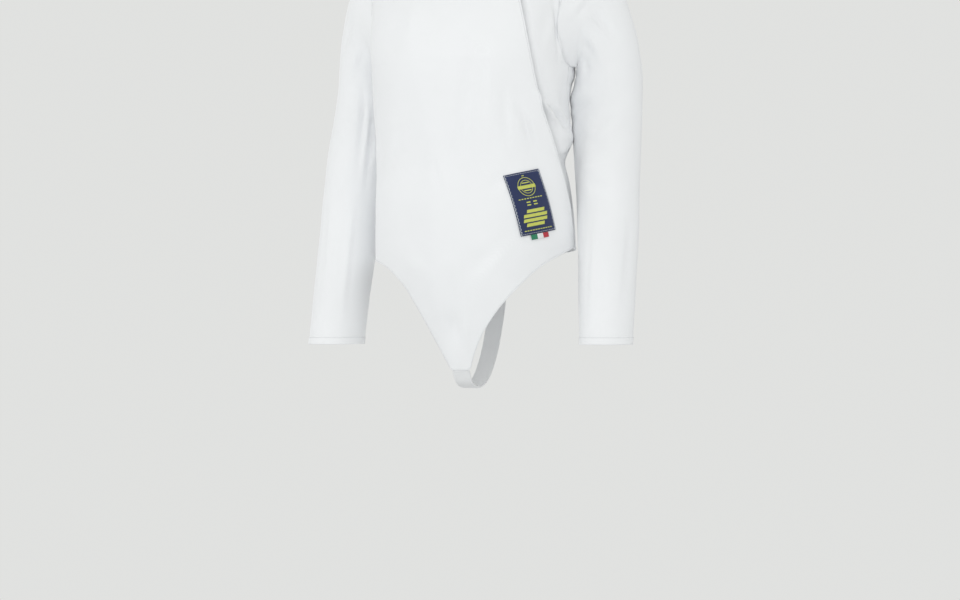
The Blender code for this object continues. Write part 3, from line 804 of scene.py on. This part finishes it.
def front_panel():
    """The front, from the right side seam to the flap's free edge, with arches and tongue."""
    levels = panel_levels()
    share = spread(FRONT_WIDTH, True, True)
    edge_turn, edge_level = arch_edge(len(share) - len(share) % 2 + 1)
    along = np.linspace(0.0, 1.0, len(edge_turn))
    edge_turn = np.interp(share, along, edge_turn)
    edge_level = np.interp(share, along, edge_level)
    start = side_limit(levels, SIDE_SEAM_RIGHT, ARMHOLE_FRONT, -1)
    plain_start = side_limit(levels, SIDE_SEAM_RIGHT, 0.0, -1)
    end = column(FLAP_EDGE, "turn", levels)
    rows = across_panel(start, end, plain_start, end, share)
    turn, level = down_to_hem(rows, levels, edge_turn, edge_level, FRONT_DROP)
    outer, away = settle(turn, level, flap_lift(turn, level), 1.3)
    from_right, from_left, from_low, from_top = four_distances(outer)
    height = (seam_height(from_right) + seam_height(from_top)
              + hem_height(np.minimum(from_left, from_low), EDGE_HEM))
    return sewn("front_panel", outer, away, height, (line_at, from_left, EDGE_STITCH),
                (column_line, from_low, EDGE_STITCH))


def line_at(grid, away, distance, at):
    """The line over a grid's rows where each of them is at a distance from its start or end."""
    points, ways = [], []
    for i in range(len(grid)):
        order = np.argsort(distance[i])
        points.append(point_at(at, distance[i][order], grid[i][order]))
        ways.append(point_at(at, distance[i][order], away[i][order]))
    return np.array(points), np.array(ways)


def column_line(grid, away, distance, at):
    """The line over a grid's columns at a distance from their lower end."""
    return line_at(*[np.swapaxes(g, 0, 1) for g in (grid, away, distance)], at)


def left_side_panel():
    """The left side, from under the flap to the left side seam, sunk beside the flap's edge."""
    levels = panel_levels()
    share = spread(SIDE_WIDTH, False, True)
    corner = ARCHES[0].left_z
    hem = corner + (HEM_LEFT - corner) * share
    edge = column(FLAP_EDGE, "turn", levels)
    start = edge - degrees_of(CLOSURE_OVERLAP, edge, levels)
    end = side_limit(levels, SIDE_SEAM_LEFT, ARMHOLE_FRONT, 1)
    plain_end = side_limit(levels, SIDE_SEAM_LEFT, 0.0, 1)
    rows = across_panel(start, end, start, plain_end, share)
    turn, level = down_to_hem(rows, levels, rows[0], hem, SIDE_DROP)
    edge = column(FLAP_EDGE, "turn", level)
    waist = bell((level - WAIST_LEVEL) / WAIST_REACH)
    reach = GROOVE + WAIST_GROOVE * waist
    under = ease((edge + degrees_of(reach, edge, level) - turn)
                 / degrees_of(0.85 * reach, edge, level))
    outer, away = settle(turn, level, -CLOSURE_STEP * (1.0 + WAIST_DEEPER * waist) * under, 4.1,
                         calm=1.0 - 0.9 * under)
    _, from_end, from_low, from_top = four_distances(outer)
    height = seam_height(from_end) + hem_height(from_low, EDGE_HEM) + seam_height(from_top)
    return sewn("left_side_panel", outer, away, height, (line_at, from_end, SEAM_STITCH),
                (column_line, from_low, EDGE_STITCH))


def back_panel():
    """The back, from the left side seam to the right one."""
    levels = panel_levels()
    share = spread(BACK_WIDTH, True, True)
    start = side_limit(levels, SIDE_SEAM_LEFT, -ARMHOLE_BACK, 1)
    end = 360.0 + side_limit(levels, SIDE_SEAM_RIGHT, -ARMHOLE_BACK, -1)
    plain_start = side_limit(levels, SIDE_SEAM_LEFT, 0.0, 1)
    plain_end = 360.0 + side_limit(levels, SIDE_SEAM_RIGHT, 0.0, -1)
    rows = across_panel(start, end, plain_start, plain_end, share)
    hem = HEM_LEFT + (HEM_RIGHT - HEM_LEFT) * share - HEM_BACK_DROP * np.sin(share * math.pi)
    turn, level = down_to_hem(rows, levels, rows[0], hem, BACK_DROP)
    outer, away = settle(turn, level, 0.0, 7.9)
    from_start, from_end, from_low, from_top = four_distances(outer)
    height = (seam_height(np.minimum(from_start, from_end)) + hem_height(from_low, WIDE_HEM)
              + seam_height(from_top))
    return sewn("back_panel", outer, away, height, (column_line, from_low, WIDE_STITCH))


def armpit_roll(around, from_seam):
    """The cloth that bunches in front of the armpit and hangs over the seam there."""
    amount = window(around, *ROLL_TURN) * bell((from_seam - ROLL_PLACE) / ROLL_REACH)
    return amount[..., None] * np.array([-ROLL_INWARD, -ROLL_FORWARD, 0.0])


def sleeve(name, side, arm, slack_folds, seed):
    """A sleeve with its folds, seam at the armhole, inner seam and hemmed cuff."""
    around = np.arange(SLEEVE_COLUMNS) * 360.0 / SLEEVE_COLUMNS
    run = spread(SLEEVE_LENGTH, True, True)
    places = np.linspace(0.0, len(arm) - 1, 400)
    covered = lengths(arm_form(arm, np.full(400, 0.0), places)[None], 1)[0]
    along = np.interp(run * covered[-1], covered, places)
    turn, ring = np.meshgrid(around, along)
    outer = arm_form(arm, turn, ring)
    fade = 1.0 - ease(along / SLEEVE_BLEND)
    outer = outer + fade[:, None, None] * (armhole_point(around) - outer[0])[None]
    away = grid_facing(outer, wrapped=True)
    from_low = lengths(outer, 0)
    from_cuff = from_low[-1:] - from_low
    free = ease(from_low / SEAM_FADE)
    outer = outer + armpit_roll(turn, from_low)
    bumps = soft_folds(slack_folds, turn, ring / (len(arm) - 1)) + ripple(outer, seed)
    if side > 0:
        bumps = pressed_flat(bumps, pressed_sleeve(turn, outer[..., 2]), PRESSED_SLEEVE)
    bumps = bumps * free
    from_inner_seam = ARM_RADIUS * np.radians(np.abs(turned_from(turn, INNER_SEAM)))
    height = (bumps + hem_height(from_cuff, WIDE_HEM) + seam_height(from_low)
              + 0.7 * seam_height(from_inner_seam))
    outer = outer + away * height[..., None]
    outer, away = outer * [side, 1, 1], away * [side, 1, 1]
    uv = np.stack([lengths(closed(outer), 1)[:, :-1], from_low], axis=-1)
    piece = shell(name, outer, away, CLOTH, [COTTON], wrapped=True, uv=uv)
    lines = [column_line(closed(outer), closed(away), closed(distance), at)
             for distance, at in ((from_cuff, WIDE_STITCH), (from_low, SEAM_STITCH))]
    return piece, stitches(f"{name}_stitches", lines)


def collar():
    """The standing band, whose right end laps over its left end at the closure."""
    edge = column(FLAP_EDGE, "turn", NECK)
    turn = np.linspace(edge - COLLAR_BEHIND, edge + 360.0, 170)
    lap = COLLAR_LAP * ease((turn - edge - COLLAR_LAP_START) / COLLAR_LAP_TURN)
    height = COLLAR_HEIGHT + COLLAR_FRONT_RISE * np.clip(np.cos(np.radians(turn)), 0, 1) ** 2
    seam = bare_body(turn, np.full_like(turn, NECK))
    away = np.stack([np.sin(np.radians(turn)), -np.cos(np.radians(turn)), 0 * turn], axis=-1)
    outer = []
    for share in spread(0.05, True, True):
        lean = lap - COLLAR_LEAN * math.sin(math.pi / 2 * share)
        up = np.array([0.0, 0.0, 1.0]) * (height * share)[:, None]
        outer.append(seam + away * lean[:, None] + up)
    outer = np.array(outer)
    away = np.repeat(away[None], len(outer), axis=0)
    from_start, from_end, from_low, from_top = four_distances(outer)
    from_ends = np.minimum(from_start, from_end)
    calm = ease(from_low / 0.01)
    slack = ripple(outer, 11.7, size=0.035, height=0.0008) * calm
    shape = slack + seam_height(from_low) + hem_height(np.minimum(from_top, from_ends), EDGE_HEM)
    return sewn("collar", outer, away, shape, (column_line, from_low, SEAM_STITCH),
                (column_line, from_top, EDGE_STITCH), (line_at, from_end, EDGE_STITCH),
                cloth=COLLAR_CLOTH)


# ---- hidden and small pieces ----

def zip_strip():
    """Two tapes and a closed row of teeth, on the underside of the flap."""
    levels = np.linspace(ZIP_LOW, ZIP_HIGH, 130)
    edge = column(FLAP_EDGE, "turn", levels)
    middle = edge - degrees_of(ZIP_SETBACK, edge, levels)
    across = centred(ZIP_WIDTH, 13)[None, :]
    turn = middle[:, None] + across * degrees_of(1.0, edge, levels)[:, None]
    level = np.repeat(levels[:, None], 13, axis=1)
    sunk = ZIP_CLEARANCE + 0.0002 + ZIP_DIP * bell((level - WAIST_LEVEL) / ZIP_DIP_REACH)
    outer, away = on_body(turn, level, flap_lift(turn, level) - CLOTH - sunk)
    tape = shell("zip_tape", outer, away, ZIP_TAPE, [TAPE])
    centre, up = outer[:, 6], away[:, 6]
    run = lengths(centre[None], 1)[0]
    mesh = bmesh.new()
    for k, start in enumerate(np.arange(TOOTH_STEP, run[-1] - TOOTH_STEP, TOOTH_STEP)):
        place, out = Vector(point_at(start, run, centre)), Vector(point_at(start, run, up))
        ahead = Vector(point_at(start + 0.001, run, centre)) - place
        side = out.cross(ahead).normalized()
        turned = Matrix((side, ahead.normalized(), out)).transposed().to_4x4()
        shift = TOOTH_SHIFT if k % 2 else -TOOTH_SHIFT
        turned.translation = place + side * shift - out * 0.0009
        bmesh.ops.create_cube(mesh, size=1.0, matrix=turned @ Matrix.Diagonal((*TOOTH, 1.0)))
    return tape, of_bmesh("zip_teeth", mesh, THREAD_MATERIAL)


def crotch_strap():
    """Ribbed webbing from the tongue's end, under the wearer, to the back hem."""
    front = bare_body(0.0, TONGUE_END)
    back = bare_body(180.0, (HEM_LEFT + HEM_RIGHT) / 2 - HEM_BACK_DROP)
    route = np.array([   # y, z
        (front[1] + 0.0002, front[2] - 0.0006),
        (front[1] + 0.016, front[2] - 0.02),
        (0.01, -0.668),
        (0.05, -0.652),
        (0.085, -0.612),
        (0.112, -0.555),
        (0.128, -0.505),
        (back[1] - 0.0003, back[2] - 0.0003),
    ])
    steps = np.arange(len(route))
    at = np.linspace(0.0, len(route) - 1, 110)
    y, z = smooth(at, steps, route[:, 0]), smooth(at, steps, route[:, 1])
    slope = np.stack([np.gradient(y), np.gradient(z)], axis=-1)
    slope /= np.linalg.norm(slope, axis=-1, keepdims=True)
    x = centred(STRAP_WIDTH, STRAP_COLUMNS)
    ribs = STRAP_RIB * np.cos(np.arange(STRAP_COLUMNS) * math.pi)
    ribs[[0, -1]] = -0.0003
    outer = np.array([[(px, py, pz) for px in x] for py, pz in zip(y, z)])
    away = np.array([[(0.0, t[1], -t[0])] * len(x) for t in slope])
    outer = outer + away * ribs[None, :, None]
    return shell("crotch_strap_webbing", outer, away, STRAP_THICKNESS, [ELASTIC])


def on_label(x, y, out):
    """Points at places x, y (metres from the label's middle) on the front panel, moved out."""
    lean = math.radians(LABEL_LEAN)
    right = x * math.cos(lean) - y * math.sin(lean)
    up = x * math.sin(lean) + y * math.cos(lean)
    turn = LABEL_TURN + degrees_of(right, LABEL_TURN, LABEL_LEVEL)
    level = LABEL_LEVEL + up
    base, away = on_body(turn, level, flap_lift(turn, level) + out)
    extra = soft_folds(BODY_FOLDS, turn, level)
    return base + away * extra[..., None], away


def patch():
    """The label's own cloth, rounded at its edges."""
    x, y = np.meshgrid(centred(LABEL_WIDTH, 29), centred(LABEL_HEIGHT, 41))
    outer, away = on_label(x, y, LABEL_OUT)
    edge = np.minimum(np.minimum(x + LABEL_WIDTH / 2, LABEL_WIDTH / 2 - x),
                      np.minimum(y + LABEL_HEIGHT / 2, LABEL_HEIGHT / 2 - y))
    outer = outer - away * (0.0005 * (1 - ease(edge / 0.0012)))[..., None]
    return shell("label_cloth", outer, away, PATCH, [NAVY], uv=np.stack([x, y], axis=-1))


LABEL_OUT = PATCH + PATCH_CLEARANCE + HEM_RISE * 0.3
MOTIF_RISE, MOTIF_THICKNESS = 0.00022, 0.0004
RING_Y = 0.0245
BARS = [                 # x, y, width, height
    (0.0, RING_Y, 0.03, 0.005),
    (0.0, 0.0305, 0.012, 0.0014),
    (0.0, 0.019, 0.012, 0.0014),
    (0.0, 0.0412, 0.0036, 0.0012),
]
WIDE_BARS = (0.03, 0.04, 0.04, 0.03)
ZIG_STEP, ZIG_LEAN, DASH_STEP = 0.0026, 0.9, 0.003


def motif(shapes, name, material):
    """Woven shapes on the label, each a grid of places (x, y) in metres, joined to one piece."""
    points, faces = [], []
    for x, y in shapes:
        outer, away = on_label(x, y, LABEL_OUT + MOTIF_RISE)
        numbers = len(points) + np.arange(x.size).reshape(x.shape)
        for grid in (outer, outer - away * MOTIF_THICKNESS):
            points.extend(grid.reshape(-1, 3).tolist())
        faces.extend(quads(numbers))
        for edge in (numbers[:, 0], numbers[:, -1], numbers[0], numbers[-1]):
            faces.extend(quads(np.stack([edge, edge + x.size])))
    mesh = bpy.data.meshes.new(name)
    mesh.from_pydata(points, [], faces)
    mesh.materials.append(material)
    return in_scene(name, mesh, fix_sides=True)


def bar(x, y, width, height, lean=0.0):
    """A bar round the place x, y."""
    u, v = np.meshgrid(*[centred(size, max(3, round(size / 0.0015))) for size in (width, height)])
    return x + u + lean * v, y + v


def band(x, y, inner, outer):
    """A ring between two radii."""
    angle, radius = np.meshgrid(np.radians(np.linspace(0.0, 360.0, 37)),
                                np.linspace(inner, outer, 3))
    return x + radius * np.cos(angle), y + radius * np.sin(angle)


def label():
    """A navy woven label, with plain shapes only: two rings, and bars alone or in rows."""
    base = patch()
    shapes = [band(0.0, RING_Y, 0.0134, 0.0142), band(0.0, RING_Y, 0.0094, 0.0101)]
    shapes += [bar(*place_and_size) for place_and_size in BARS]
    shapes += [bar((k - 4) * 0.0046, 0.0072, 0.003, 0.0013) for k in range(9)]
    shapes += [bar(x, y, 0.0062, 0.0017) for x in (-0.0056, 0.0056) for y in (0.0016, -0.0026)]
    shapes += [bar((k - 1.5) * -0.0018, -0.0118 - k * 0.0068, wide, 0.0048, lean=0.35)
               for k, wide in enumerate(WIDE_BARS)]
    shapes += [bar((k - 5) * 0.0044, -0.0405, 0.003, 0.0013) for k in range(11)]
    woven_motif = motif(shapes, "label_motif", LIME)
    zig = [bar(x, (k + 0.5) * ZIG_STEP - LABEL_HEIGHT / 2, 0.0011, 0.0022,
               lean=ZIG_LEAN if k % 2 else -ZIG_LEAN)
           for x in (0.0016 - LABEL_WIDTH / 2, LABEL_WIDTH / 2 - 0.0016)
           for k in range(round(LABEL_HEIGHT / ZIG_STEP))]
    zig += [bar((k + 0.5) * DASH_STEP - LABEL_WIDTH / 2, y, 0.002, 0.0005)
            for y in (0.0022 - LABEL_HEIGHT / 2, LABEL_HEIGHT / 2 - 0.0022)
            for k in range(round(LABEL_WIDTH / DASH_STEP))]
    return base, woven_motif, motif(zig, "label_zigzag", PALE)


def ribbon():
    """The ribbon's folded end, in green, white and red across: down, round the fold and up."""
    top = LABEL_HEIGHT / 2 + 0.0002
    bend = RIBBON_THICKNESS + 0.0001
    down = [(-top - RIBBON_DROP * s, 0.0) for s in np.linspace(0.0, 0.92, 8)]
    fold = [(-top - RIBBON_DROP * 0.92 - bend * math.sin(t) * 0.9, -bend * (1 - math.cos(t)))
            for t in np.linspace(0.3, math.pi - 0.3, 7)]
    up = [(y, -2 * bend) for y, _ in down[::-1]]
    route = np.array(down + fold + up)
    x, y = np.meshgrid(centred(RIBBON_WIDTH, 25), route[:, 0])
    out = np.repeat(route[:, 1:], x.shape[1], axis=1)
    outer, _ = on_label(x, y, LABEL_OUT + out)
    away = -grid_facing(outer)
    return shell("ribbon_satin", outer, away, RIBBON_THICKNESS, [GREEN, SATIN, RED],
                 uv=np.stack([x, lengths(outer, 0)], axis=-1), stripes=np.arange(24) // 8)


# ---- putting it together ----

def carry(piece, slot, *nodes):
    """Puts a piece on the body and hides the solids that it stands for. Its slot is not used."""
    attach(piece, "root")
    if nodes:
        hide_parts(*nodes)


front, front_thread = front_panel()
side_piece, side_thread = left_side_panel()
back, back_thread = back_panel()
left_arm, left_thread = sleeve("sleeve_left_cloth", 1.0, LEFT_ARM, ARM_FOLDS_LEFT, 3.3)
right_arm, right_thread = sleeve("sleeve_right_cloth", -1.0, RIGHT_ARM, ARM_FOLDS_RIGHT, 5.9)
neck, neck_thread = collar()
tape, teeth = zip_strip()
strap = crotch_strap()
label_cloth, label_motif, label_zigzag = label()
ribbon_piece = ribbon()

for piece, solid in ((front, "front_panel"), (side_piece, "left_side_panel"), (back, "back_panel"),
                     (left_arm, "sleeve_left"), (right_arm, "sleeve_right"), (neck, "collar")):
    carry(piece, "white_cotton", solid)
for thread in (front_thread, side_thread, back_thread, left_thread, right_thread, neck_thread):
    carry(thread, "white_cotton")
carry(tape, "zip_tape", "zip_strip")
carry(teeth, "zip_tape")
carry(strap, "white_elastic", "crotch_strap")
carry(label_cloth, "navy_label", "label_patch")
carry(label_motif, "navy_label")
carry(label_zigzag, "navy_label")
carry(ribbon_piece, "ribbon", "ribbon_tab")


# ---- floor, light and camera ----

def aim_at(thing, place, target):
    thing.location = place
    thing.rotation_euler = (target - place).to_track_quat("-Z", "Y").to_euler()


def studio():
    """A pale round floor far below, broad soft light from the front, and a pale grey surround."""
    scene = bpy.context.scene
    scene.view_settings.view_transform = "Standard"
    mesh = bmesh.new()
    bmesh.ops.create_circle(mesh, cap_ends=True, segments=96, radius=FLOOR_RADIUS)
    material, _, shader = new_material("floor_paper", FLOOR_GREY, 0.9)
    shader.inputs["Specular IOR Level"].default_value = 0.2
    floor = of_bmesh("floor", mesh, material)
    floor.location = (0.0, 0.0, FLOOR_LEVEL)

    world = bpy.data.worlds.new("studio")
    world.use_nodes = True
    surround = world.node_tree.nodes["Background"]
    surround.inputs["Color"].default_value = (*SURROUND, 1.0)
    surround.inputs["Strength"].default_value = 1.0
    scene.world = world

    for name, place, size, power in LAMPS:
        lamp = bpy.data.lights.new(name, "AREA")
        lamp.shape = "DISK"
        lamp.size = size
        lamp.energy = power
        aim_at(in_scene(name, lamp), Vector(place), Vector((0.0, 0.0, LAMP_AIM_LEVEL)))


FLOOR_LEVEL = -1.42      # a standing wearer's feet
FLOOR_RADIUS = 2.8
FLOOR_GREY = (0.8, 0.805, 0.81)
LAMP_AIM_LEVEL = -0.3
SURROUND = (0.75, 0.757, 0.745)
LAMPS = [                # name, place, size (m), power (W)
    ("key", (0.8, -3.9, 0.9), 1.8, 24.0),
    ("left_fill", (-3.2, -2.6, 0.2), 1.8, 16.5),
    ("right_fill", (3.3, -2.6, 0.2), 1.8, 10.5),
    ("low_fill", (0.4, -3.6, -1.1), 2.0, 1.0),
    ("back", (-2.6, 2.8, 1.6), 2.4, 12.0),
]
CAMERA_DISTANCE = 4.0
CAMERA_AZIMUTH = 22.0
CAMERA_LEVEL = -0.578
CAMERA_AIM = (0.0156, -0.531)  # to the right of the body's middle, and the level it aims at
CAMERA_LENS = 96.0


def camera():
    """Almost level, from the front and a little round to the wearer's left."""
    a = math.radians(CAMERA_AZIMUTH)
    right = Vector((math.cos(a), math.sin(a), 0.0))
    lens = bpy.data.cameras.new("camera")
    lens.sensor_width = 36.0
    lens.lens = CAMERA_LENS
    holder = in_scene("camera", lens)
    place = Vector((math.sin(a) * CAMERA_DISTANCE, -math.cos(a) * CAMERA_DISTANCE, CAMERA_LEVEL))
    aim_at(holder, place, right * CAMERA_AIM[0] + Vector((0.0, 0.0, CAMERA_AIM[1])))
    bpy.context.scene.camera = holder


studio()
camera()
